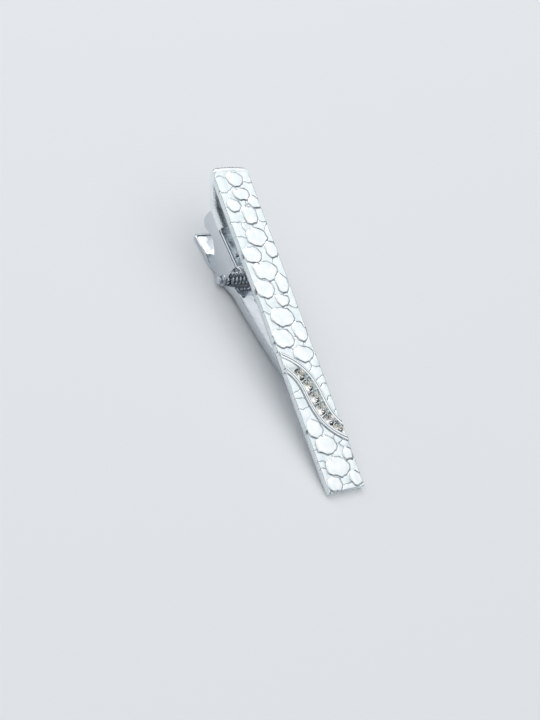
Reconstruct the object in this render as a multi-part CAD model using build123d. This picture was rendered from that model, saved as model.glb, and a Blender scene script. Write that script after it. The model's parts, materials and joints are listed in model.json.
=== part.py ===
from build123d import *
from math import acos, atan2, cos, degrees, hypot, pi, radians, sin, tan
import os

"""Tie clip: a crocodile-embossed bar with a crystal-set band and a sprung pinch clasp.

Every piece is drawn in the bar's own frame: X runs along the bar from its folded head to
its free tip, Y runs across it, and Z is square to the face, with the face at Z = 0. The
last step stands the finished clip on a table, on its tip and its thumb tail.
"""

# Bar: one strip, folded back under itself at the head
bar_length = 58.0
bar_width = 7.3
bar_thickness = 1.25
fold_start = 2.75           # from the head's end to the inside of the fold
fold_angle = 26.6           # how steeply the return leg leaves the bar
head_round = 0.55           # radius of the folded edge
head_corner = 0.9           # radius of the head's two corners in plan
head_bow = 0.3              # the head's edge bows out by this much
leg_gap = 1.7               # clear space between the bar's back and the return leg
leg_end = 9.95              # from the head's end to the end of the leg

# Crocodile scales struck into the face. Each large one: middle along and across the bar, length, width
scale_rise = 0.12           # the large scales stand this far above the small ones between them
scale_gap = 0.12            # groove between the scales and the band's rims
scales_start = 1.0          # the pattern begins here, beyond the rounded head
scale_points = 8            # the points that each oval's line passes through
large_scales = (
    (2.45, 0.25, 2.9, 3.3), (5.35, 0.5, 2.5, 3.2), (6.9, 2.5, 2.6, 2.2), (7.35, -1.8, 2.5, 2.9),
    (9.3, 0.7, 3.7, 2.9), (13.4, 0.45, 3.5, 4.3), (15.8, 2.5, 3.2, 2.6), (16.6, -1.8, 3.1, 3.8),
    (19.7, -0.15, 3.6, 4.8), (22.1, 2.1, 3.6, 2.6), (22.8, -1.8, 3.5, 3.8), (25.1, 1.0, 2.3, 2.6),
    (28.0, -0.3, 3.6, 4.5), (30.8, 2.1, 3.9, 2.6), (31.7, -1.7, 3.6, 4.0), (34.8, 1.2, 2.9, 4.0),
    (47.4, -2.0, 3.2, 3.2), (50.3, -0.9, 3.2, 4.2), (52.3, 2.6, 2.3, 2.0), (54.1, -0.2, 3.4, 4.6),
    (56.4, 2.5, 2.7, 2.3), (56.7, -2.0, 2.6, 3.0))

# Band of crystals: an S that crosses the bar
band_middle = 42.25         # from the head's end to the middle of the S
band_shift = 0.2            # the middle of the S lies this far off the centre line
band_slope = 0.14           # how steeply the S crosses at its middle
band_sweep = 0.0095         # how fast it steepens towards the edges
band_half_width = 1.9
band_end_half_width = 1.35
channel_half_width = 1.16
channel_end_half_width = 0.35
channel_depth = 0.35
rim_height = 0.15           # the band's rims stand this far above the face

crystal_diameter = 2.05
small_crystal_diameter = 1.7
crystal_gap = 0.1
full_crystals = 5
crystal_height = 0.95
crystal_girdle = 0.1
crystal_crown = 0.3
table_share = 0.56          # table diameter over girdle diameter
crystal_sink = 0.05         # the table lies this far below the rims' crest
seat_clearance = 0.02

# Bracket: a channel brazed under the return leg, with two ears for the hinge pin
bracket_width = 6.5
bracket_sheet = 0.5
bracket_start = 5.7
bracket_seat = 0.3          # the web stays flat for this far beyond the leg's end
bulge_depth = 3.5           # from the leg to the wall's deepest edge, near the closed end
bulge_x = 7.1
bulge_rise = 1.1            # the closed end is this much shallower than the bulge
waist_depth = 2.7
waist_x = 9.1
web_end = 16.9
web_rise = 0.75             # the web leans towards the bar by this much at its end
bend_round = 0.45

# Hinge pin
pin_x = 16.9
pin_depth = 8.5             # from the face to the pin's axis
pin_radius = 0.6
pin_fit = 0.02              # radial, in the bracket's ears
lever_fit = 0.06            # radial, in the lever's ears
pin_neck = 0.3              # length of plain pin between the ear and the head
pin_head_radius = 0.72
pin_head_height = 0.55
ear_radius = 1.05

# Lever: jaw, ears and thumb tail, pressed from one sheet
lever_sheet = 0.45
ear_clearance = 0.1         # between the lever's ears and the bracket's
tail_width = 6.5
tail_start = 6.6
tail_drop = 2.18            # from the heel's underside down to the tail's, at its end
tail_neck = 13.4            # where the wide tail begins to narrow to the ears
tail_corner = 0.7
neck_length = 1.4
heel_ahead = 0.3            # the tail runs straight to its heel, this far beyond the pin
heel_cover = 0.17           # the heel's underside lies this far below the bracket's ears
jaw_start = 20.4            # the jaw's own line begins here
jaw_rise = 0.2              # the jaw's line, taken back to the heel, lies this far above the pin's axis
jaw_tip = 43.0
jaw_tip_width = 2.3
jaw_tip_corner = 0.75
jaw_tip_gap = 0.06          # between the closed jaw and the bar's back
jaw_tip_wall = 0.7          # height of the trough at its tip
jaw_root_wall = 1.6         # height of the trough at the ears
jaw_bow = 0.67              # how far the jaw bows away from a straight line
window_margin = 0.4         # clear space between the coil and each end of the window

# Torsion spring
wire_diameter = 0.45
leg_swell = 0.007           # the wire is this much fuller in radius once it leaves the coil
coil_radius = 0.98          # to the middle of the wire
coil_turns = 5
coil_pitch = 0.76
touch_gap = 0.04
touch_x = 12.0              # the moving leg's end bears on the tail here
anchor_x = 14.9             # the fixed leg's hole in the bracket's web
anchor_clearance = 0.2
anchor_stand = 0.5          # the leg's end stands this far out of the web

bar_back = bar_thickness
leg_inner = bar_back + leg_gap
leg_outer = leg_inner + bar_thickness
slope = tan(radians(fold_angle))
lever_width = bracket_width - 2 * (bracket_sheet + ear_clearance)
bracket_flat_end = leg_end + bracket_seat
coil_outer = coil_radius + wire_diameter / 2
window_start = pin_x - coil_outer - window_margin
window_end = pin_x + coil_outer + window_margin
heel = pin_x + heel_ahead
heel_depth = pin_depth + ear_radius + heel_cover
tail_depth = heel_depth + tail_drop
jaw_root = pin_x + ear_radius


def prism(outline, width):
    """A flat outline in the bar's side view, made equally thick to both sides of its middle."""
    return extrude(Plane.XZ * outline, width / 2, both=True)


def side(*points):
    """A closed outline in side view, from pairs of distance along the bar and depth below the face."""
    return make_face(Polyline([(x, -depth) for x, depth in points], close=True))


def band_centre(x):
    s = x - band_middle
    return band_shift + band_slope * s + band_sweep * s ** 3


def band_direction(x):
    """Unit vector along the band."""
    rise = band_slope + 3 * band_sweep * (x - band_middle) ** 2
    length = hypot(1, rise)
    return 1 / length, rise / length


def band_reach():
    """Distance from the band's middle to where it has left the bar."""
    s = 0.0
    while band_centre(band_middle + s) < bar_width / 2 + band_half_width:
        s += 0.1
    return s


def band_outline(middle_half, end_half):
    """The band's shape in plan, widest at its middle and narrower where it leaves the bar."""
    reach = band_reach()
    stations = [band_middle + reach * k / 6 for k in range(-6, 7)]
    edges = []
    for way in (1, -1):
        points = []
        for x in stations:
            share = min(1.0, abs(x - band_middle) / reach)
            half = middle_half + (end_half - middle_half) * share ** 2
            dx, dy = band_direction(x)
            points.append((x - way * half * dy, band_centre(x) + way * half * dx))
        edges.append(points)
    upper, lower = edges
    ends = [Line(upper[0], lower[0]), Line(upper[-1], lower[-1])]
    return make_face([Spline(upper), Spline(lower)] + ends)


def crystal_places():
    """Centre and diameter of each crystal, spaced along the band."""
    step = crystal_diameter + crystal_gap
    last_step = (crystal_diameter + small_crystal_diameter) / 2 + crystal_gap
    offsets = [(k - (full_crystals - 1) / 2) * step for k in range(full_crystals)]
    sizes = [crystal_diameter] * full_crystals
    offsets.append(offsets[-1] + last_step)
    sizes.append(small_crystal_diameter)
    return [(*along_band(offset), size) for offset, size in zip(offsets, sizes)]


def along_band(distance):
    """The point on the band's centre line at this distance from its middle."""
    steps = 200
    x = band_middle
    for _ in range(steps):
        x += distance / steps * band_direction(x)[0]
    return x, band_centre(x)


def crystal_outline(diameter, clearance):
    """Half section of a round crystal: table, crown, girdle and pavilion."""
    radius = diameter / 2 + clearance
    top = rim_height - crystal_sink
    crown = top - crystal_crown * diameter / crystal_diameter
    girdle = crown - crystal_girdle
    culet = top - crystal_height * diameter / crystal_diameter - clearance
    points = [(0, top), (table_share * diameter / 2, top), (radius, crown), (radius, girdle), (0, culet)]
    return make_face(Polyline(points, close=True))


def crystal(x, y, diameter, clearance=0.0):
    stone = revolve(Plane.XZ * crystal_outline(diameter, clearance), Axis.Z)
    return Pos(x, y, 0) * stone


def bar_plan():
    """The strip seen square to its face, with a slightly bowed head."""
    half = bar_width / 2
    head = ThreePointArc((head_bow, -half), (0, 0), (head_bow, half))
    rest = Polyline((head_bow, half), (bar_length, half), (bar_length, -half), (head_bow, -half))
    outline = make_face([head, rest])
    return fillet(outline.vertices().filter_by(lambda v: v.X < bar_length / 2), head_corner)


def scale_outline(x, y, length, width):
    """A large scale in plan, an oval."""
    turns = [2 * pi * k / scale_points for k in range(scale_points)]
    oval = Spline([(x + length / 2 * cos(turn), y + width / 2 * sin(turn)) for turn in turns], periodic=True)
    return make_face(oval)


def ground(plan):
    """The thin layer of the face that is struck down between the large scales."""
    field = Pos(scales_start + bar_length / 2, 0) * Rectangle(bar_length, bar_width)
    layer = (plan & field) - band_outline(band_half_width + scale_gap, band_end_half_width + scale_gap)
    for scale in large_scales:
        layer -= scale_outline(*scale)
    return [Pos(0, 0, -scale_rise) * extrude(face, 2 * scale_rise) for face in layer.faces()]


def front_bar():
    """The strip: embossed face, folded head and return leg, with the band's rims and channel."""
    bend_x = fold_start + leg_gap / slope
    outer_bend_x = bend_x - bar_thickness * tan(radians(fold_angle / 2))
    end_depth = leg_outer - outer_bend_x * slope
    outline = side(
        (0, 0), (bar_length, 0), (bar_length, bar_back), (fold_start, bar_back), (bend_x, leg_inner),
        (leg_end, leg_inner), (leg_end, leg_outer), (outer_bend_x, leg_outer), (0, end_depth))
    outline = fillet(outline.vertices().sort_by(Axis.X)[:2], head_round)
    plan = bar_plan()
    bar = prism(outline, bar_width) & Pos(0, 0, -leg_outer) * extrude(plan, leg_outer)
    for hollow in ground(plan):
        bar -= hollow
    band = band_outline(band_half_width, band_end_half_width) & plan
    rims = Pos(0, 0, -bar_back / 2) * extrude(band, bar_back / 2 + rim_height)
    channel = band_outline(channel_half_width, channel_end_half_width)
    bar = bar + rims - Pos(0, 0, -channel_depth) * extrude(channel, channel_depth + 2 * rim_height)
    for x, y, diameter in crystal_places():
        bar -= crystal(x, y, diameter, seat_clearance)
    return bar


def web_depth(x):
    """Depth of the bracket's web, on the side that faces the bar."""
    share = max(0.0, x - bracket_flat_end) / (web_end - bracket_flat_end)
    return leg_outer - web_rise * share


def clasp_bracket():
    """The channel under the return leg. Its two walls run down to the ears of the hinge."""
    closed = bracket_start
    corner = (web_end, -web_depth(web_end))
    bulge = leg_outer + bulge_depth
    waist = leg_outer + waist_depth
    ear_deep = pin_depth + ear_radius
    ear_front = (pin_x + ear_radius, -pin_depth)
    ear_turn = (pin_x + ear_radius * cos(pi / 4), -(pin_depth + ear_radius * sin(pi / 4)))
    top = Polyline((closed, -leg_outer), (bracket_flat_end, -leg_outer), corner)
    mouth = Polyline(corner, (web_end, -(web_depth(web_end) + pin_depth) / 2), ear_front)
    ear = ThreePointArc(ear_front, ear_turn, (pin_x, -ear_deep))
    flank = ((waist_x + pin_x) / 2, -(waist + ear_deep) / 2)
    back = Spline(
        (pin_x, -ear_deep), flank, (waist_x, -waist), (bulge_x, -bulge), (closed, bulge_rise - bulge))
    end = Line((closed, bulge_rise - bulge), (closed, -leg_outer))
    walls = prism(make_face([top, mouth, ear, back, end]), bracket_width)
    long_edges = walls.edges().filter_by(lambda e: abs(abs(e.center().Y) - bracket_width / 2) < 1e-6)
    walls = fillet(long_edges.filter_by(lambda e: e.center().Z > -leg_outer - 1e-6), bend_round)
    beyond = 2 * web_end - bracket_flat_end
    room = side(
        (0, leg_outer + bracket_sheet), (bracket_flat_end, leg_outer + bracket_sheet),
        (beyond, web_depth(beyond) + bracket_sheet), (beyond, 2 * pin_depth), (0, 2 * pin_depth))
    bracket = walls - prism(room, bracket_width - 2 * bracket_sheet)
    bracket -= pin_bore(pin_radius + pin_fit)
    hole_radius = wire_diameter / 2 + anchor_clearance
    hole = Pos(anchor_x, spring_leg_y(), -leg_outer) * Cylinder(hole_radius, leg_outer)
    return bracket - hole


def pin_bore(radius):
    return Pos(pin_x, 0, -pin_depth) * Rot(90, 0, 0) * Cylinder(radius, 2 * bar_width)


def hinge_pin():
    """A plain pin, headed over outside both ears."""
    half = bracket_width / 2 + pin_neck
    crown = half + pin_head_height
    cheek = (half + crown) / 2
    rise = crown - cheek
    shoulder = (pin_head_radius * cos(pi / 4), cheek + rise * sin(pi / 4))
    edges = [Line((0, crown), (0, -crown)), Line((pin_radius, half), (pin_radius, -half))]
    for way in (1, -1):
        edges.append(Spline(
            (0, way * crown), (shoulder[0], way * shoulder[1]), (pin_head_radius, way * cheek),
            tangents=((1, 0), (0, -way))))
        edges.append(Line((pin_head_radius, way * cheek), (pin_head_radius, way * half)))
        edges.append(Line((pin_head_radius, way * half), (pin_radius, way * half)))
    return Pos(pin_x, 0, -pin_depth) * revolve(make_face(edges), Axis.Y)


def tail_under(x):
    """Depth of the tail's underside, a straight line from its end to the heel."""
    share = (x - tail_start) / (heel - tail_start)
    return tail_depth + (heel_depth - tail_depth) * share


def jaw_under(x):
    """Depth of the jaw's underside, a bowed line from the heel to the tip."""
    tip_depth = bar_back + jaw_tip_gap + jaw_tip_wall
    share = (x - heel) / (jaw_tip - heel)
    root_depth = pin_depth - jaw_rise
    return root_depth + (tip_depth - root_depth) * share + jaw_bow * 4 * share * (1 - share)


def lever_under(x):
    """Depth of the lever's underside: the tail's line eases into the jaw's beyond the hinge."""
    share = min(1.0, max(0.0, (x - heel) / (jaw_start - heel)))
    blend = share * share * (3 - 2 * share)
    return tail_under(x) * (1 - blend) + jaw_under(max(x, heel)) * blend


def jaw_edge(x):
    """Depth of the trough's upper edge."""
    share = (x - jaw_root) / (jaw_tip - jaw_root)
    return lever_under(x) - jaw_root_wall - (jaw_tip_wall - jaw_root_wall) * share


def lever_plan(margin):
    """The lever seen square to the face, smaller all round by a margin."""
    tail = tail_width / 2 - margin
    ear = lever_width / 2 - margin
    tip = jaw_tip_width / 2 - margin
    half = [(tail_start + margin, tail), (tail_neck, tail), (tail_neck + neck_length, ear), (jaw_root, ear),
            (jaw_tip - margin, tip)]
    return make_face(Polyline(half + [(x, -y) for x, y in reversed(half)], close=True))


def jaw_lever():
    """Jaw, ears and thumb tail: a trough that narrows to the tip, and a wide plain tail."""
    stations = [heel + (jaw_tip - heel) * k / 14 for k in range(15)]
    under = Spline([(x, -lever_under(x)) for x in stations])
    floor = Spline([(x, lever_sheet - lever_under(x)) for x in stations])
    tail_end = (tail_start, -tail_under(tail_start))
    tail_floor = (tail_start, lever_sheet - tail_depth)
    heel_point = (heel, -lever_under(heel))
    sheet = make_face([
        under, Line(under @ 1, floor @ 1), floor,
        Polyline(floor @ 0, tail_floor, tail_end, heel_point)])
    trough = [x for x in stations if x > jaw_root]
    edge = Spline([(x, -jaw_edge(x)) for x in trough])
    walls = make_face([
        under, Line(under @ 1, edge @ 1), edge,
        Polyline(edge @ 0, (pin_x + ear_radius, -pin_depth), (pin_x - ear_radius, -pin_depth),
                 (pin_x - ear_radius, -tail_under(pin_x - ear_radius)), heel_point)])
    walls += Pos(pin_x, -pin_depth) * Circle(ear_radius)
    plan = lever_plan(0)
    plan = fillet(plan.vertices().group_by(Axis.X)[0], tail_corner)
    plan = fillet(plan.vertices().group_by(Axis.X)[-1], jaw_tip_corner)
    solid = prism(sheet, tail_width) + prism(walls, lever_width)
    solid = solid & Pos(0, 0, -2 * tail_depth) * extrude(plan, 2 * tail_depth)
    inside = Pos(0, 0, -2 * tail_depth) * extrude(lever_plan(lever_sheet), 2 * tail_depth)
    above = make_face([floor, Polyline(floor @ 1, (jaw_tip, 0), (tail_start, 0), tail_floor, floor @ 0)])
    window = side((window_start, 0), (window_end, 0), (window_end, tail_depth), (window_start, tail_depth))
    hollow = (prism(above, lever_width) + prism(window, lever_width)) & inside
    return solid - hollow - pin_bore(pin_radius + lever_fit)


def spring_leg_y():
    """The spring's first leg lies in this plane, at the coil's end."""
    return -coil_turns * coil_pitch / 2


def from_pin(x, depth):
    """Direction and distance from the pin to a point in side view."""
    dx = x - pin_x
    dz = pin_depth - depth
    return atan2(dz, dx), hypot(dx, dz)


def on_coil(angle, y):
    return Vector(pin_x + coil_radius * cos(angle), y, -pin_depth + coil_radius * sin(angle))


def torsion_spring():
    """A close coil on the pin. One leg hooks through the bracket's web, the other bears on the tail."""
    anchor_depth = web_depth(anchor_x) + bracket_sheet / 2
    anchor_angle, anchor_distance = from_pin(anchor_x, anchor_depth)
    first = anchor_angle + acos(coil_radius / anchor_distance)
    touch_depth = tail_under(touch_x) - lever_sheet - wire_diameter / 2 - touch_gap
    touch_angle, touch_distance = from_pin(touch_x, touch_depth)
    last = touch_angle - acos(coil_radius / touch_distance)
    while last < first + 2 * pi * (coil_turns - 1):
        last += 2 * pi
    height = coil_pitch * (last - first) / (2 * pi)
    start = spring_leg_y()
    coil = Helix(coil_pitch, height, coil_radius, lefthand=True)
    coil = Pos(pin_x, start, -pin_depth) * Rot(-90, 0, 0) * Rot(0, 0, -degrees(first)) * coil
    begin = on_coil(first, start)
    end = on_coil(last, start + height)
    anchor = Vector(anchor_x, start, -anchor_depth)
    hook = anchor + (anchor - begin).normalized() * (bracket_sheet / 2 + anchor_stand)
    touch = Vector(touch_x, start + height, -touch_depth)
    body = sweep(Plane(origin=begin, z_dir=coil % 0) * Circle(wire_diameter / 2), path=coil)
    leg_radius = wire_diameter / 2 + leg_swell
    for near, far in ((begin, hook), (end, touch)):
        leg = sweep(Plane(origin=near, z_dir=far - near) * Circle(leg_radius), path=Line(near, far))
        body += leg + Pos(*near) * Sphere(leg_radius)
    return body


def stand():
    """Sets the clip on a table: it lies on the tip's lower edge and the lever's underside."""
    low = [(tail_start, tail_depth), (pin_x, pin_depth + ear_radius), (pin_x, pin_depth + coil_outer)]
    low += [(heel + k, lever_under(heel + k)) for k in range(int(jaw_tip - heel))]
    return Rot(0, degrees(max(atan2(depth - bar_back, bar_length - x) for x, depth in low)), 0)


pieces = {
    "front_bar": front_bar(),
    "clasp_bracket": clasp_bracket(),
    "hinge_pin": hinge_pin(),
    "jaw_lever": jaw_lever(),
    "torsion_spring": torsion_spring(),
}
for number, (x, y, diameter) in enumerate(crystal_places(), start=1):
    pieces[f"crystal_{number}"] = crystal(x, y, diameter)

tilt = stand()
box = Compound(children=[tilt * piece for piece in pieces.values()]).bounding_box()
place = Pos(-box.center().X, -box.center().Y, -box.min.Z) * tilt

os.makedirs("parts", exist_ok=True)
for name, piece in pieces.items():
    export_step(place * piece, f"parts/{name}.step")
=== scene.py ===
import json
from math import cos, pi, radians, sin

import bmesh
import bpy
import numpy as np
from mathutils import Euler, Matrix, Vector


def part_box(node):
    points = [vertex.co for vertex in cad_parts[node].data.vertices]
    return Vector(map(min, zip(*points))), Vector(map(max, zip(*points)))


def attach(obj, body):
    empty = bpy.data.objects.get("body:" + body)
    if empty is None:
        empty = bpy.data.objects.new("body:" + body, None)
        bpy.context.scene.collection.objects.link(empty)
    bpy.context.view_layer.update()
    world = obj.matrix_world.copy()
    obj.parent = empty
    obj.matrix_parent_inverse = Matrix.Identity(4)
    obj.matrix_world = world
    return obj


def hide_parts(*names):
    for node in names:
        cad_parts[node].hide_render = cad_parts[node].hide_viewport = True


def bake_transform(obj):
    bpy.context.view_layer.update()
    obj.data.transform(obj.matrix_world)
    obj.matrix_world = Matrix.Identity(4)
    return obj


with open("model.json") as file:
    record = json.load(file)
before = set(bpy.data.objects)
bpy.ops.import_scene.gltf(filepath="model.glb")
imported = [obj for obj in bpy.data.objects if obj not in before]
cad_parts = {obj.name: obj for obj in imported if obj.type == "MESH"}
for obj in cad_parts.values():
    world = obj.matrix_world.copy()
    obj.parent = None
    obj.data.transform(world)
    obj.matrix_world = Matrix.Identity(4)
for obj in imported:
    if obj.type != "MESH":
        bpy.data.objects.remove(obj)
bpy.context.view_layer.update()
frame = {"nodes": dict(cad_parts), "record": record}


# ---- Front bar -------------------------------------------------------------------------------
# One strip of brass, die-struck with a crocodile pattern, folded back under itself at the head
# and rhodium-plated. It is drawn in its own frame: millimetres along the bar from the folded
# head, across it, and out of its face. The clamping face on its back says where that frame lies.
mm = 0.001
bar_length = 58.0
bar_half = 3.65
bar_back = 1.25
clamp_middle = 50.5
clamp = next(mount for mount in frame["record"]["mounts"] if mount["name"] == "clamping_face")
bar_up = -Vector(clamp["axis"])
bar_along = Vector((bar_up.z, 0, -bar_up.x))
bar_head = Vector(clamp["pos_m"]) - bar_along * clamp_middle * mm + bar_up * bar_back * mm


def on_bar(x, y, z):
    """A place given in the bar's frame, in millimetres, as a point of the row frame."""
    return bar_head + (bar_along * x + Vector((0, y, 0)) + bar_up * z) * mm


def settled(x, y, z):
    """The same for arrays of places."""
    places = np.stack([np.ravel(x), np.ravel(y), np.ravel(z)], axis=1) * mm
    return np.array(bar_head) + places @ np.array([bar_along, (0, 1, 0), bar_up])


def piece_of(name, points, faces, smooth=True):
    """A mesh object from points in the row frame and faces."""
    mesh = bpy.data.meshes.new(name)
    mesh.from_pydata([tuple(p) for p in points], [], [tuple(f) for f in faces])
    mesh.update()
    for polygon in mesh.polygons:
        polygon.use_smooth = smooth
    piece = bpy.data.objects.new(name, mesh)
    bpy.context.scene.collection.objects.link(piece)
    return piece


def eased(value, low, high):
    """0 below low, 1 above high, and a smooth step between them."""
    share = np.clip((value - low) / (high - low), 0, 1)
    return share * share * (3 - 2 * share)


# The band of crystals crosses the bar as an S.
band_middle = 42.25
band_shift = 0.2
band_slope = 0.14
band_sweep = 0.0095
band_half = 1.9
band_end_half = 1.35
channel_half = 1.16
channel_end_half = 0.35
band_reach = 7.5
channel_depth = 0.35
band_root = -1.1        # the band's own underside, inside the bar
band_ledge = 0.14       # the face is pressed down by this much beside the band's walls
band_seat = 0.9         # and cleared by this much under the band
band_inset = 0.01       # the band's ends stay this far inside the bar's edges


def band_line(x):
    """How far across the bar the band's centre line lies at x."""
    s = x - band_middle
    return band_shift + band_slope * s + band_sweep * s ** 3


def band_lean(x):
    """Cosine and sine of the band's direction."""
    rise = band_slope + 3 * band_sweep * (x - band_middle) ** 2
    length = np.sqrt(1 + rise * rise)
    return 1 / length, rise / length


def band_halves(x):
    """Half widths of the band and of its channel."""
    share = np.clip(np.abs(x - band_middle) / band_reach, 0, 1) ** 2
    band = band_half + (band_end_half - band_half) * share
    channel = channel_half + (channel_end_half - channel_half) * share
    return band, channel


def off_band(x, y):
    """Distance from the band's centre line, and the x of the nearest point on it."""
    near = x
    for _ in range(4):
        lean_cos, lean_sin = band_lean(near)
        near = near + (x - near) * lean_cos * lean_cos + (y - band_line(near)) * lean_cos * lean_sin
        near = np.clip(near, band_middle - 1.3 * band_reach, band_middle + 1.3 * band_reach)
    return np.hypot(x - near, y - band_line(near)), near


# Scales of the crocodile pattern: middle along and across the bar, length and width. The large
# ones stand proud, with small flat ones packed between them.
large_scales = (
    (2.45, 0.25, 2.9, 3.3), (5.35, 0.5, 2.5, 3.2), (6.9, 2.5, 2.6, 2.2), (7.35, -1.8, 2.5, 2.9),
    (9.3, 0.7, 3.7, 2.9), (13.4, 0.45, 3.5, 4.3), (15.8, 2.5, 3.2, 2.6), (16.6, -1.8, 3.1, 3.8),
    (19.7, -0.15, 3.6, 4.8), (22.1, 2.1, 3.6, 2.6), (22.8, -1.8, 3.5, 3.8), (25.1, 1.0, 2.3, 2.6),
    (28.0, -0.3, 3.6, 4.5), (30.8, 2.1, 3.9, 2.6), (31.7, -1.7, 3.6, 4.0), (34.8, 1.2, 2.9, 4.0),
    (47.4, -2.0, 3.2, 3.2), (50.3, -0.9, 3.2, 4.2), (52.3, 2.6, 2.3, 2.0), (54.1, -0.2, 3.4, 4.6),
    (56.4, 2.5, 2.7, 2.3), (56.7, -2.0, 2.6, 3.0))
small_scales = (
    (1.7, 2.8, 2.4, 1.5), (4.5, 2.9, 2.3, 1.4), (9.5, 3.0, 2.6, 1.3), (11.1, 2.3, 1.2, 2.0),
    (12.6, 3.3, 2.3, 0.8), (18.9, 3.0, 2.6, 1.3), (25.4, 3.0, 2.5, 1.3), (27.3, 2.9, 1.5, 1.5),
    (33.3, 3.3, 1.0, 0.9), (36.8, 2.7, 1.0, 1.6), (36.8, 1.4, 0.9, 1.1), (38.0, 2.7, 1.9, 1.6),
    (39.7, 3.1, 1.3, 1.1), (41.3, 3.1, 2.0, 1.0), (43.7, 3.4, 2.1, 0.8), (46.0, 3.6, 1.6, 0.6),
    (1.3, -2.4, 0.9, 2.0), (3.5, -2.5, 2.9, 1.5), (5.6, -2.5, 1.3, 1.9), (9.8, -2.1, 1.3, 2.3),
    (11.9, -2.6, 2.6, 1.9), (14.2, -2.8, 1.6, 1.7), (11.5, -0.9, 0.9, 1.2), (16.6, 0.9, 1.4, 1.3),
    (19.4, -3.2, 2.0, 1.0), (22.4, 0.6, 1.6, 0.9), (25.1, -1.4, 1.1, 1.8), (25.7, -3.0, 2.3, 1.2),
    (28.4, -3.2, 2.4, 1.0), (30.1, 0.4, 0.9, 0.9), (33.0, 0.5, 0.9, 1.2), (34.1, -2.4, 1.4, 2.4),
    (39.6, -3.2, 2.6, 1.5), (41.6, -3.0, 1.0, 1.6), (43.0, -2.9, 1.6, 1.8), (44.7, -2.7, 1.6, 2.0),
    (48.9, 0.6, 1.0, 1.4), (49.6, 1.9, 1.4, 1.3), (50.5, 2.8, 1.1, 1.6), (51.4, 1.6, 1.1, 1.0),
    (49.4, -3.4, 1.3, 0.9), (52.1, -2.9, 1.6, 1.3), (53.4, -3.2, 1.3, 1.1), (54.7, -3.2, 1.5, 1.0),
    (53.9, 2.9, 1.0, 1.4), (56.5, 0.5, 1.3, 1.5), (57.6, 0.6, 0.9, 2.2))
scale_rise = 0.12       # of the large scales above the ground between them
groove_floor = 0.2      # deepest, on the side of each scale that faces the bar's tip
crease_depth = 0.06     # of the lines between small scales
dome_fall = 0.05        # each scale's own crown
edge_drop = 0.12        # the bar's long edges and tip are rounded by this much,
edge_reach = 0.16       # over this width
ground_shade = 0.22     # how much painted shade the ground between the scales gets in the plate's colour


def nearest_scales(x, y, scales):
    """How far inside its scale each place lies, how far from the next one, and where out and along it."""
    first = np.full(x.shape, -1e3)
    second = np.full(x.shape, -1e3)
    reach = np.ones(x.shape)
    along = np.zeros(x.shape)
    for cx, cy, length, width in scales:
        span = (np.abs((x - cx) / (length / 2)) ** 2.3 + np.abs((y - cy) / (width / 2)) ** 2.3) ** (1 / 2.3)
        inside = (1 - span) * (length + width) / 4
        closer = inside > first
        second = np.where(closer, first, np.maximum(second, inside))
        reach = np.where(closer, span, reach)
        along = np.where(closer, (x - cx) / (length / 2), along)
        first = np.where(closer, inside, first)
    return first, (first - second) / 2, reach, along


def embossed(x, y):
    """Height of the struck face, and how much painted shade each place gets, from 0 to 1, darkest in the
    grooves.
    """
    wave_x = x + 0.10 * np.sin(2.3 * y + 1.1 * x) + 0.05 * np.sin(5.1 * y - 3.3 * x + 1)
    wave_y = y + 0.09 * np.sin(1.9 * x + 0.7 * y) + 0.05 * np.sin(4.7 * x + 2.9 * y + 2)
    inside, seam, span, along = nearest_scales(wave_x, wave_y, large_scales)
    tip_side = eased(along, -0.7, 0.5)
    depth_in = np.minimum(inside, seam)
    rim_floor = scale_rise + (groove_floor - scale_rise) * (0.2 + 0.8 * tip_side)
    flank = 0.4 - 0.2 * tip_side
    dome = -rim_floor * (1 - eased(depth_in, -0.03, flank)) - dome_fall * np.clip(span, 0, 1) ** 3
    _, small_seam, small_span, small_along = nearest_scales(wave_x, wave_y, small_scales)
    crease = 1 - eased(small_seam, 0.02, 0.11)
    between = -rim_floor + (rim_floor - scale_rise) * eased(-inside, 0.03, 0.16)
    between = between - crease_depth * crease - 0.03 * np.clip(small_span, 0, 1.2) ** 2
    height = np.where(inside > 0, dome, between)
    # Painted shade: on each scale's rim and on the ground between the scales, a little everywhere on the
    # ground, more at the scales' foot and in the creases, most on the side towards the bar's tip.
    shaded_ground = ground_shade + (1 - ground_shade) * np.maximum(
        (1 - eased(-inside, 0.0, 0.1 + 0.08 * tip_side)) * (0.3 + 0.7 * tip_side),
        crease * (0.3 + 0.5 * eased(small_along, -0.6, 0.6)))
    painted_shade = np.where(inside > 0, (1 - eased(depth_in, 0.0, 0.1)) * (0.3 + 0.7 * tip_side), shaded_ground)
    height = height + 0.006 * np.sin(3.1 * x + 1.7 * y) * np.sin(2.3 * y - 1.3 * x + 0.6)
    away, near = off_band(x, y)
    half, _ = band_halves(near)
    # Painted shade along the foot of the band's walls as well.
    beside = 1 - eased(away - half - 0.04, 0.02, 0.12)
    painted_shade = np.maximum(painted_shade, beside)
    height = np.where(away < half + 0.1, np.minimum(height, -band_ledge), height)
    height = np.where(away < half - 0.12, -band_seat, height)
    side = np.clip(1 - (bar_half - np.abs(y)) / edge_reach, 0, 1)
    end = np.clip(1 - (bar_length - x) / edge_reach, 0, 1)
    plain = eased(x, 0.6, 1.3)
    return height * plain - edge_drop * (side ** 2 + end ** 2), painted_shade * plain


fold_start = 2.75
fold_angle = radians(26.6)
fold_room = 3.4         # length over which the back's rows close up towards the fold
leg_gap = 1.7
leg_end = 9.95
head_round = 0.55
head_corner = 0.9
head_bow = 0.3
grid = 0.06             # spacing of the struck face's mesh


def head_shift(y):
    """How far the head's edge falls back from its foremost point, across the bar."""
    corner = np.clip(np.abs(y) - (bar_half - head_corner), 0, head_corner)
    return head_bow * (y / bar_half) ** 2 + head_corner - np.sqrt(head_corner ** 2 - corner ** 2)


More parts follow.
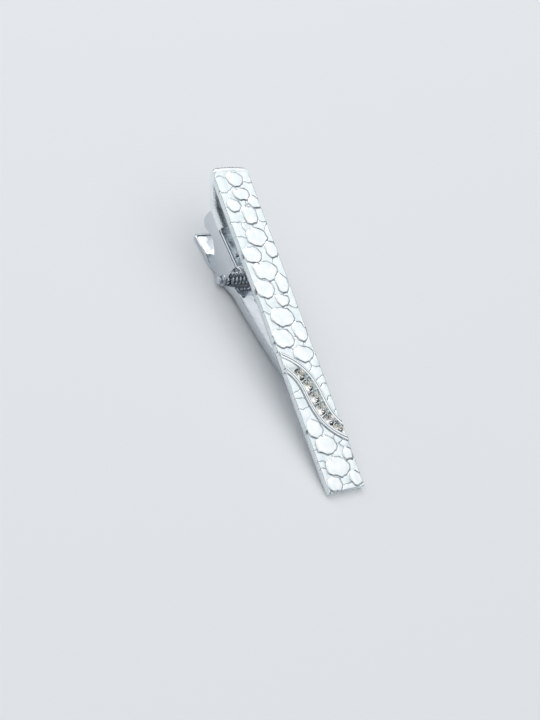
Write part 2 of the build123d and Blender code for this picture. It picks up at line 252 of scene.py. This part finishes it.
def strip_sides():
    """Side view of the strip from the tip, over the head, to the leg's end: outer and inner lines."""
    slope = np.tan(fold_angle)
    leg_inner = bar_back + leg_gap
    leg_outer = leg_inner + bar_back
    bend = fold_start + leg_gap / slope
    outer_bend = bend - bar_back * np.tan(fold_angle / 2)
    corner = leg_outer - outer_bend * slope
    face = np.linspace(bar_length, head_round, int(bar_length / grid))
    outer = [(x, 0.0) for x in face]
    outer += [(head_round * (1 - sin(turn)), head_round * (cos(turn) - 1))
              for turn in np.linspace(0, pi / 2, 8)[1:]]
    low_centre = head_round * (1 - sin(fold_angle)) / cos(fold_angle) - corner
    outer += [(head_round * (1 - cos(turn)), low_centre - head_round * sin(turn))
              for turn in np.linspace(0, pi / 2 - fold_angle, 6)]
    tight = len(outer) - len(face)
    outer += [(x, -corner - x * slope) for x in np.linspace(outer[-1][0] + 0.3, outer_bend - 0.3, 8)]
    outer += [(outer_bend, -leg_outer + 0.01)]
    outer += [(x, -leg_outer) for x in np.linspace(outer_bend + 0.3, leg_end, 8)]
    near_fold = fold_start + 0.1 + fold_room
    closing = fold_room / (near_fold - head_round)
    inner = [(x if x > near_fold else near_fold + (x - near_fold) * closing, -bar_back) for x in face]
    inner += [(fold_start + 0.1 - 0.1 * sin(turn), -bar_back - 0.06 + 0.06 * cos(turn))
              for turn in np.linspace(0, pi - fold_angle, tight + 1)[1:]]
    inner += [(x, -bar_back - (x - fold_start) * slope)
              for x in np.linspace(fold_start + 0.35, bend - 0.2, 8)]
    inner += [(bend, -leg_inner)]
    inner += [(x, -leg_inner) for x in np.linspace(bend + 0.2, leg_end, 8)]
    return np.array(outer), np.array(inner), len(face)


def edge_rows(line):
    """Unit directions square to a side-view line, to its left as it runs."""
    along = np.gradient(line, axis=0)
    along = along / np.linalg.norm(along, axis=1)[:, None]
    return np.stack([-along[:, 1], along[:, 0]], axis=1)


def draped(line, inward, across, drop, lift):
    """Carries a side-view line across the bar; lift raises it out of the strip, drop sinks its edges."""
    sunk = drop[None, :] - lift
    x = line[:, :1] + inward[:, :1] * sunk
    z = line[:, 1:] + inward[:, 1:] * sunk
    x = x + head_shift(across)[None, :] * np.clip(1 - x / 5, 0, 1) ** 2
    return np.stack([x, np.broadcast_to(across, x.shape), z], axis=2)


def tube_faces(rows, ring):
    """Faces that join each ring of points to the next one, and close both ends."""
    faces = [(row * ring + k, row * ring + (k + 1) % ring,
              (row + 1) * ring + (k + 1) % ring, (row + 1) * ring + k)
             for row in range(rows - 1) for k in range(ring)]
    return faces + [tuple(range(ring)), tuple(range((rows - 1) * ring, rows * ring))]


def closed_mesh(name, points, faces, painted_shade):
    """A closed piece with its normals outward, creased only at real corners, and its painted shade values."""
    piece = piece_of(name, points, faces)
    work = bmesh.new()
    work.from_mesh(piece.data)
    bmesh.ops.recalc_face_normals(work, faces=work.faces)
    work.to_mesh(piece.data)
    work.free()
    piece.data.set_sharp_from_angle(angle=radians(62))
    attribute = piece.data.attributes.new("painted_shade", "FLOAT", "POINT")
    attribute.data.foreach_set("value", np.asarray(painted_shade, dtype=np.float32))
    return piece


def make_bar():
    """The struck strip: a ring of points round it at each step from the tip, over the head, to the leg."""
    outer, inner, face_rows = strip_sides()
    middle = np.linspace(edge_reach - bar_half, bar_half - edge_reach, int(2 * bar_half / grid))
    across = np.concatenate([[-bar_half, -bar_half, 0.03 - bar_half, 0.08 - bar_half], middle,
                             [bar_half - 0.08, bar_half - 0.03, bar_half, bar_half]])
    # The outermost lines come twice: on the rounded edge, and a little way down the wall beside it.
    wall = np.zeros(len(across))
    wall[[0, -1]] = 0.1
    lift = np.zeros((len(outer), len(across)))
    painted_shade = np.zeros(lift.shape)
    grid_x, grid_y = np.meshgrid(outer[:face_rows, 0], across, indexing="ij")
    lift[:face_rows], painted_shade[:face_rows] = embossed(grid_x, grid_y)
    side = np.clip(1 - (bar_half - np.abs(across)) / edge_reach, 0, 1)
    lift[face_rows:] = -edge_drop * side ** 2
    top = draped(outer, edge_rows(outer), across, wall, lift)
    back_across = np.array([bar_half, bar_half - 0.04, bar_half - 0.12, 2.4, 1.2, 0, -1.2, -2.4,
                            0.12 - bar_half, 0.04 - bar_half, -bar_half])
    back_drop = np.array([0.12, 0.04, 0, 0, 0, 0, 0, 0, 0, 0.04, 0.12])
    back = draped(inner, -edge_rows(inner), back_across, back_drop, np.zeros((len(inner), len(back_across))))
    rows = np.concatenate([top, back], axis=1)
    faces = tube_faces(rows.shape[0], rows.shape[1])
    shade = np.concatenate([painted_shade, np.zeros((len(outer), len(back_across)))], axis=1)
    flat = rows.reshape(-1, 3)
    return closed_mesh("front_bar_struck", settled(flat[:, 0], flat[:, 1], flat[:, 2]), faces, shade.ravel())


front_bar = make_bar()


def linear(hex_colour):
    """An sRGB hex colour as linear values."""
    shares = [int(hex_colour[k:k + 2], 16) / 255 for k in (1, 3, 5)]
    return [s / 12.92 if s <= 0.04045 else ((s + 0.055) / 1.055) ** 2.4 for s in shares] + [1.0]


def add(material, kind, settings=None, links=None):
    """Adds a node; settings fill its sockets or properties, links join them to other nodes' outputs."""
    node = material.node_tree.nodes.new(kind)
    for key, value in (settings or {}).items():
        if isinstance(key, int) or key in node.inputs:
            node.inputs[key].default_value = value
        else:
            setattr(node, key, value)
    for key, (source, output) in (links or {}).items():
        material.node_tree.links.new(source.outputs[output], node.inputs[key])
    return node


def new_material(name):
    material = bpy.data.materials.new(name)
    material.use_nodes = True
    material.node_tree.nodes.clear()
    return material


def struck_rhodium():
    """Rhodium plate over a die-struck face: bright and slightly soft, faintly clouded every 1.4 mm or so,
    with painted shade: cooler in the ground between the scales and grey in the grooves."""
    plate = new_material("struck_rhodium_plate")
    place = add(plate, "ShaderNodeTexCoord")
    painted_shade = add(plate, "ShaderNodeAttribute", {"attribute_name": "painted_shade"})
    cloud = add(plate, "ShaderNodeTexNoise", {"Scale": 700.0, "Detail": 3.0}, {"Vector": (place, "Object")})
    grain = add(plate, "ShaderNodeTexNoise", {"Scale": 9000.0, "Detail": 2.0}, {"Vector": (place, "Object")})
    patch = add(plate, "ShaderNodeMapRange", {"From Min": 0.38, "From Max": 0.62}, {"Value": (cloud, "Fac")})
    tint = add(plate, "ShaderNodeMix", {"data_type": "RGBA", 6: linear("#F9FBFC"), 7: linear("#EEF5F7")},
               {0: (patch, "Result")})
    # Painted shade as colour: white on the scales, faintly cooler on the ground, grey in the grooves.
    shade = add(plate, "ShaderNodeValToRGB", {}, {"Fac": (painted_shade, "Fac")})
    shade.color_ramp.elements.new(ground_shade).color = linear("#F6FAFB")
    shade.color_ramp.elements[0].color = linear("#FFFFFF")
    shade.color_ramp.elements[-1].color = linear("#9C9CA2")
    shaded_tone = add(plate, "ShaderNodeMix", {"data_type": "RGBA", "blend_type": "MULTIPLY", 0: 1.0},
               {6: (tint, 2), 7: (shade, "Color")})
    rough = add(plate, "ShaderNodeMapRange", {"To Min": 0.2, "To Max": 0.34}, {"Value": (cloud, "Fac")})
    bump = add(plate, "ShaderNodeBump", {"Strength": 0.05, "Distance": 0.00002}, {"Height": (grain, "Fac")})
    shader = add(plate, "ShaderNodeBsdfPrincipled", {"Metallic": 1.0},
                 {"Base Color": (shaded_tone, 2), "Roughness": (rough, "Result"), "Normal": (bump, "Normal")})
    add(plate, "ShaderNodeOutputMaterial", {}, {"Surface": (shader, "BSDF")})
    return plate


struck_plate = struck_rhodium()
front_bar.data.materials.append(struck_plate)
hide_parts("front_bar")
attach(front_bar, "root")


# ---- Crystal band ----------------------------------------------------------------------------
# Two raised rims, each with an engraved line, and the sunk channel between them. It is part of
# the same strike as the bar, drawn apart so that its edges run smoothly along the S.
stone_sizes = (2.05, 2.05, 2.05, 2.05, 2.05, 1.7)
stone_height = 0.95
crown_height = 0.3
girdle_height = 0.1
table_rise = 0.1        # the stones' flat tops stand this far above the face
seat_clearance = 0.02
bead_radius = 0.3
bead_offset = 0.8       # of the beads from the stones' line
stones = []
for number, size in enumerate(stone_sizes, start=1):
    low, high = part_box(f"crystal_{number}")
    from_head = (low + high) / 2 - bar_head
    stones.append((from_head.dot(bar_along) / mm, from_head.y / mm, size))


def channel_floor(x, y):
    """Depth of the channel, with a conical seat for each crystal and beads of metal between them."""
    floor = -channel_depth * (1 - 0.85 * eased(np.abs(x - band_middle), 4.6, 6.3))
    for cx, cy, size in stones:
        share = size / stone_sizes[0]
        girdle = table_rise - (crown_height + girdle_height) * share
        culet = table_rise - stone_height * share
        away = np.hypot(x - cx, y - cy) / (size / 2 + seat_clearance)
        seat = culet + (girdle - culet) * away - seat_clearance
        floor = np.minimum(floor, np.where(away < 1.05, seat, 0))
    for (ax, ay, _), (bx, by, _) in zip(stones, stones[1:]):
        run = np.hypot(bx - ax, by - ay)
        ux, uy = (bx - ax) / run, (by - ay) / run
        mid_x, mid_y = (ax + bx) / 2, (ay + by) / 2
        for way in (-1, 1):
            bead_x, bead_y = mid_x - way * bead_offset * uy, mid_y + way * bead_offset * ux
            away = np.hypot(x - bead_x, y - bead_y) / bead_radius
            floor = np.where(away < 1, np.maximum(floor, 0.09 - 0.45 * away ** 2), floor)
    return floor


def lane_at(x, side, share):
    """A lane of the band, beside the places x of its centre line: share 0 is the channel's edge, 1 the
    band's own."""
    half, channel = band_halves(x)
    off = side * (channel + (half - channel) * share)
    lean_cos, lean_sin = band_lean(x)
    return x - off * lean_sin, band_line(x) + off * lean_cos


def make_band():
    """The band as lanes along it: rim, channel and rim above, and the underside below them."""
    rim = ((1.0, 0.0), (0.95, 0.09), (0.86, 0.14), (0.76, 0.15), (0.62, 0.14), (0.57, 0.1),
           (0.53, 0.07), (0.49, 0.1), (0.44, 0.14), (0.3, 0.15), (0.12, 0.14), (0.04, 0.1), (0.0, 0.03))
    lanes = [(1, share, height) for share, height in rim]
    lanes += [(side, 0, None) for side in np.linspace(1, -1, 38)]
    lanes += [(-1, share, height) for share, height in reversed(rim)]
    tops = len(lanes)
    lanes += [(side, share, band_root) for side, share, _ in reversed(lanes)]
    stations = 260
    reach = 1.3 * band_reach
    sweep = np.linspace(band_middle - reach, band_middle + reach, 2400)
    points, painted_shade = [], []
    for side, share, height in lanes:
        _, lane_y = lane_at(sweep, side, share)
        begin = np.interp(band_inset - bar_half, lane_y, sweep)
        finish = np.interp(bar_half - band_inset, lane_y, sweep)
        x, y = lane_at(np.linspace(begin, finish, stations), side, share)
        z = channel_floor(x, y) if height is None else np.full(stations, float(height))
        edge = edge_drop * np.clip(1 - (bar_half - np.abs(y)) / edge_reach, 0, 1) ** 2
        points.append(settled(x, y, z if height == band_root else z - edge))
        # Painted shade: the engraved lines get it strongly, and the channel's floor gets some where it lies
        # deeper than 0.2 mm.
        line = 0.9 if height is not None and 0.05 < height < 0.12 and 0.4 < share < 0.6 else 0.0
        painted_shade.append(np.full(stations, line) if height is not None else np.where(z < -0.2, 0.35, 0.0))
    count = len(lanes)
    faces = [(lane * stations + k, (lane + 1) % count * stations + k,
              (lane + 1) % count * stations + k + 1, lane * stations + k + 1)
             for lane in range(count) for k in range(stations - 1)]
    faces += [tuple(lane * stations + end for lane in (k, k + 1, count - 2 - k, count - 1 - k))
              for k in range(tops - 1) for end in (0, stations - 1)]
    return closed_mesh("crystal_band_rims", np.concatenate(points), faces, np.concatenate(painted_shade))


crystal_band = make_band()
crystal_band.data.materials.append(struck_plate)
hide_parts("front_bar")
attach(crystal_band, "root")


# ---- Crystals --------------------------------------------------------------------------------
# Round cut-glass stones with a foiled back, cemented into pockets in the channel. The glass is
# clear; what sparkles is the foil seen through the facets of the crown.
def crystal_glass():
    """Lead crystal, polished: clear, with a sharp gleam on each facet of the crown."""
    glass = new_material("cut_lead_crystal")
    shader = add(glass, "ShaderNodeBsdfPrincipled",
                 {"Base Color": linear("#FFFFFF"), "Roughness": 0.01, "IOR": 1.6, "Transmission Weight": 1.0})
    add(glass, "ShaderNodeOutputMaterial", {}, {"Surface": (shader, "BSDF")})
    return glass


def backing_foil(name, colour, roughness):
    """Vacuum-coated backing: a mirror, which the facets of the pavilion break into glints."""
    foil = new_material(name)
    place = add(foil, "ShaderNodeTexCoord")
    mottle = add(foil, "ShaderNodeTexNoise", {"Scale": 2500.0, "Detail": 2.0}, {"Vector": (place, "Object")})
    tone = add(foil, "ShaderNodeMix", {"data_type": "RGBA", 6: linear(colour), 7: linear("#FAFAF8")},
               {0: (mottle, "Fac")})
    shader = add(foil, "ShaderNodeBsdfPrincipled", {"Metallic": 1.0, "Roughness": roughness},
                 {"Base Color": (tone, 2)})
    add(foil, "ShaderNodeOutputMaterial", {}, {"Surface": (shader, "BSDF")})
    return foil


clear_glass = crystal_glass()
# The grey and straw foils are painted reflections: dark and warm glints among the silver ones.
foils = [backing_foil("silver_foil_back", "#FEFEFD", 0.1), backing_foil("grey_foil_painted_reflection", "#C4C1BE", 0.1),
         backing_foil("straw_foil_painted_glint", "#F0DFA8", 0.1)]


def ring(radius, height, count, turn=0.0):
    return [(radius * cos(2 * pi * (k + turn) / count), radius * sin(2 * pi * (k + turn) / count), height)
            for k in range(count)]


def cut_crystal(number, place):
    """A round brilliant cut in its seat: table, crown facets, girdle and pavilion."""
    cx, cy, size = place
    share = size / stone_sizes[0]
    r = size / 2
    turn = 0.37 * number
    shape = ring(0.56 * r, 0, 8) + ring(0.8 * r, -0.5 * crown_height * share, 8, 0.5)
    shape += ring(r, -crown_height * share, 16) + ring(r, -(crown_height + girdle_height) * share, 16)
    shape += ring(0.45 * r, -0.7 * stone_height * share, 8, 0.5) + [(0, 0, -stone_height * share)]
    stone = bmesh.new()
    for x, y, z in shape:
        turned_x = cx + x * cos(turn) - y * sin(turn)
        turned_y = cy + x * sin(turn) + y * cos(turn)
        stone.verts.new(on_bar(turned_x, turned_y, table_rise + z))
    bmesh.ops.convex_hull(stone, input=stone.verts)
    bmesh.ops.dissolve_limit(stone, angle_limit=radians(1.5), verts=stone.verts, edges=stone.edges)
    bmesh.ops.recalc_face_normals(stone, faces=stone.faces)
    middles = sorted(stone.faces, key=lambda face: tuple(round(c, 6) for c in face.calc_center_median()))
    for index, face in enumerate(middles):
        face.smooth = False
        if face.normal.dot(bar_up) < -0.2:
            # Silver foil, with grey and straw foil by turns, so that facets side by side differ: the grey and
            # straw are painted reflections, dark and warm glints.
            face.material_index = 1 + (0, 1, 0, 2, 0, 0, 1)[(index * 3 + number) % 7]
    mesh = bpy.data.meshes.new(f"cut_crystal_{number}")
    stone.to_mesh(mesh)
    stone.free()
    piece = bpy.data.objects.new(f"cut_crystal_{number}", mesh)
    bpy.context.scene.collection.objects.link(piece)
    for material in [clear_glass] + foils:
        mesh.materials.append(material)
    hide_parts(f"crystal_{number}")
    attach(piece, "root")


for number, place in enumerate(stones, start=1):
    cut_crystal(number, place)


# ---- Clasp bracket, hinge pin and jaw lever --------------------------------------------------
# Pressed from brass sheet, deburred by tumbling, bright nickel-plated and flashed with chrome. The
# bracket is brazed under the return leg; the pin is headed over outside its ears, and the lever
# swings on it.
def bright_chrome(name, roughness, scratch):
    """A chrome flash on bright nickel over tumbled sheet: a cool mirror, wavy every 3 mm or so, with
    hairline marks about 0.05 mm apart."""
    chrome = new_material(name)
    place = add(chrome, "ShaderNodeTexCoord")
    swell = add(chrome, "ShaderNodeTexNoise", {"Scale": 320.0, "Detail": 2.0}, {"Vector": (place, "Object")})
    stretch = add(chrome, "ShaderNodeMapping", {"Scale": (1.0, 14.0, 6.0)}, {"Vector": (place, "Object")})
    hair = add(chrome, "ShaderNodeTexNoise", {"Scale": 1500.0, "Detail": 4.0},
               {"Vector": (stretch, "Vector")})
    tone = add(chrome, "ShaderNodeMix", {"data_type": "RGBA", 6: linear("#E0E3E6"), 7: linear("#CCD2D9")},
               {0: (swell, "Fac")})
    rough = add(chrome, "ShaderNodeMapRange", {"To Min": roughness, "To Max": roughness + scratch},
                {"Value": (hair, "Fac")})
    wave = add(chrome, "ShaderNodeBump", {"Strength": 0.5, "Distance": 0.0003}, {"Height": (swell, "Fac")})
    marks = add(chrome, "ShaderNodeBump", {"Strength": 0.06, "Distance": 0.00003},
                {"Height": (hair, "Fac"), "Normal": (wave, "Normal")})
    shader = add(chrome, "ShaderNodeBsdfPrincipled", {"Metallic": 1.0},
                 {"Base Color": (tone, 2), "Roughness": (rough, "Result"), "Normal": (marks, "Normal")})
    add(chrome, "ShaderNodeOutputMaterial", {}, {"Surface": (shader, "BSDF")})
    return chrome


def tumbled(node, name, radius, material, body):
    """The piece's own shape with its sheared edges rounded, as barrel tumbling leaves them."""
    mesh = frame["nodes"][node].data.copy()
    mesh.name = name
    work = bmesh.new()
    work.from_mesh(mesh)
    bmesh.ops.remove_doubles(work, verts=work.verts, dist=2e-6)
    bmesh.ops.dissolve_limit(work, angle_limit=radians(0.6), verts=work.verts, edges=work.edges)
    corners = [edge for edge in work.edges
               if len(edge.link_faces) == 2 and edge.calc_face_angle() > radians(38)]
    bmesh.ops.bevel(work, geom=corners, offset=radius * mm, segments=3, profile=0.5, affect="EDGES",
                    clamp_overlap=True)
    work.to_mesh(mesh)
    work.free()
    for polygon in mesh.polygons:
        polygon.use_smooth = True
    mesh.set_sharp_from_angle(angle=radians(32))
    mesh.materials.clear()
    mesh.materials.append(material)
    piece = bpy.data.objects.new(name, mesh)
    bpy.context.scene.collection.objects.link(piece)
    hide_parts(node)
    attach(piece, body)


bracket_chrome = bright_chrome("bright_chrome_bracket", 0.05, 0.08)
pin_chrome = bright_chrome("bright_chrome_pin", 0.08, 0.1)
lever_chrome = bright_chrome("bright_chrome_lever", 0.05, 0.08)
tumbled("clasp_bracket", "clasp_bracket_tumbled", 0.07, bracket_chrome, "root")
tumbled("hinge_pin", "hinge_pin_headed", 0.05, pin_chrome, "root")
tumbled("jaw_lever", "jaw_lever_tumbled", 0.07, lever_chrome, "lever")

# The thumb tail's edge is turned up in a low rounded lip round its end, which runs out to nothing
# along both sides before the ears.
tail_end = 6.6
tail_half = 3.25
tail_top = -11.45       # height of the tail's upper side at its end
tail_slope = 0.2057     # and its rise towards the hinge
lip_width = 0.42
lip_height = 0.22
lip_corner = 0.5
lip_fade = 12.8         # from the bar's head to where the lip has run out


def tail_lip():
    """The lip: one rounded section carried along both sides and round the end of the tail."""
    inset = lip_width / 2 + 0.02
    half = [(x, tail_half - inset) for x in np.linspace(lip_fade, tail_end + inset + lip_corner, 14)]
    half += [(tail_end + inset + lip_corner * (1 - sin(turn)),
              tail_half - inset - lip_corner * (1 - cos(turn))) for turn in np.linspace(0, pi / 2, 8)[1:]]
    path = np.array(half + [(x, -y) for x, y in reversed(half)])
    side = edge_rows(path)
    profile = ((-0.5, -0.3), (-0.48, 0.45), (-0.36, 0.82), (-0.15, 0.98), (0.15, 0.98), (0.36, 0.82),
               (0.48, 0.45), (0.5, -0.3))
    points = []
    for (x, y), (side_x, side_y) in zip(path, side):
        taper = float(eased(lip_fade - x, -0.3, 2.0))
        for across, up in profile:
            lip_x = x + side_x * across * lip_width
            lip_y = y + side_y * across * lip_width
            rise = up * lip_height * (taper if up > 0 else 1)
            points.append((lip_x, lip_y, tail_top + tail_slope * (lip_x - tail_end) + rise))
    faces = tube_faces(len(path), len(profile))
    points = np.array(points)
    return closed_mesh("jaw_lever_tail_lip", settled(points[:, 0], points[:, 1], points[:, 2]), faces,
                       np.zeros(len(points)))


lip = tail_lip()
lip.data.materials.append(lever_chrome)
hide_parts("jaw_lever")
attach(lip, "lever")


# ---- Torsion spring --------------------------------------------------------------------------
# Hard-drawn steel wire, wound on the pin in five open turns and flash-plated. Drawing leaves the
# wire a little rougher than the sheet, so its gleam is duller.
spring_mesh = frame["nodes"]["torsion_spring"].data.copy()
spring_mesh.name = "torsion_spring_wound"
spring_mesh.materials.clear()
spring_mesh.materials.append(bright_chrome("drawn_spring_wire", 0.14, 0.14))
spring = bpy.data.objects.new("torsion_spring_wound", spring_mesh)
bpy.context.scene.collection.objects.link(spring)
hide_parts("torsion_spring")

# One leg sits in the bracket and the other on the lever; the coil's ends on the pin lie a leg's thickness in
# from the spring's ends.
leg_thickness = 0.55 * mm
spring_low, spring_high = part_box("torsion_spring")
pin_low, pin_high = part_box("hinge_pin")
coil_start = (pin_low + pin_high) / 2
coil_end = coil_start.copy()
coil_start.y = spring_low.y + leg_thickness
coil_end.y = spring_high.y - leg_thickness
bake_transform(spring)


# ---- Table, light and camera -----------------------------------------------------------------
# A pale matt table top that runs on past the view, a large soft light overhead, a faint fill over
# the face and one at the side, and the camera at the object's own three-quarter view from above.
table_half = 1.5
table_corners = [(table_half * x, table_half * y, 0) for x, y in ((-1, -1), (1, -1), (1, 1), (-1, 1))]
table = piece_of("table_top", table_corners, [(0, 1, 2, 3)], False)


def pale_laminate():
    """Matt laminate: even and pale, with no gloss to mirror the clip."""
    laminate = new_material("pale_matt_laminate")
    shader = add(laminate, "ShaderNodeBsdfPrincipled",
                 {"Base Color": linear("#EEF0F2"), "Roughness": 0.85, "Specular IOR Level": 0.1})
    add(laminate, "ShaderNodeOutputMaterial", {}, {"Surface": (shader, "BSDF")})
    return laminate


table.data.materials.append(pale_laminate())


def soft_light(name, place, size, radiance):
    """A softbox that faces the clip; radiance is what a mirror shows of it, where 1 is white."""
    lamp = bpy.data.lights.new(name, "AREA")
    lamp.shape = "RECTANGLE"
    lamp.size, lamp.size_y = size
    lamp.energy = radiance * pi * size[0] * size[1]
    holder = bpy.data.objects.new(name, lamp)
    holder.location = place
    holder.rotation_euler = (-Vector(place)).to_track_quat("-Z", "Y").to_euler()
    bpy.context.scene.collection.objects.link(holder)


soft_light("overhead_softbox", (-0.5, 0.12, 0.6), (0.5, 0.5), 1.1)
soft_light("fill_softbox", (-0.2, 0.45, 0.65), (0.6, 0.6), 0.15)
soft_light("side_softbox", (-0.55, -0.3, 0.25), (0.2, 0.45), 2.0)

# The room is pale overhead and dark low down, so that the plated clasp has both to mirror.
world = bpy.data.worlds.new("studio_room")
bpy.context.scene.world = world
world.use_nodes = True
world.node_tree.nodes.clear()
direction = add(world, "ShaderNodeTexCoord")
level = add(world, "ShaderNodeSeparateXYZ", {}, {"Vector": (direction, "Generated")})
room = add(world, "ShaderNodeValToRGB", {}, {"Fac": (level, "Z")})
ramp = room.color_ramp
for position, colour in ((0.14, "#14181F"), (0.34, "#5A626E"), (0.52, "#D3D9DE"), (0.75, "#F8F9FA")):
    stop = ramp.elements.new(position)
    stop.color = linear(colour)
ramp.elements[0].color = linear("#0E1116")
ramp.elements[-1].color = linear("#FCFDFD")
ray = add(world, "ShaderNodeLightPath")
seen = add(world, "ShaderNodeMix", {"data_type": "RGBA", 7: linear("#E9EBEE")},
           {0: (ray, "Is Camera Ray"), 6: (room, "Color")})
air = add(world, "ShaderNodeBackground", {"Strength": 1.0}, {"Color": (seen, 2)})
add(world, "ShaderNodeOutputWorld", {}, {"Surface": (air, "Background")})

# The camera's place is in millimetres and its turns are in degrees.
camera = bpy.data.objects.new("camera", bpy.data.cameras.new("camera"))
camera.data.lens = 65
camera.data.sensor_width = 36
camera.data.clip_start = 0.01
camera.location = Vector((90.586, -128.988, 145.937)) * mm
camera.rotation_euler = Euler([radians(angle) for angle in (40.408, -26.025, 61.737)])
bpy.context.scene.collection.objects.link(camera)
bpy.context.scene.camera = camera
bpy.context.scene.view_settings.view_transform = "Standard"
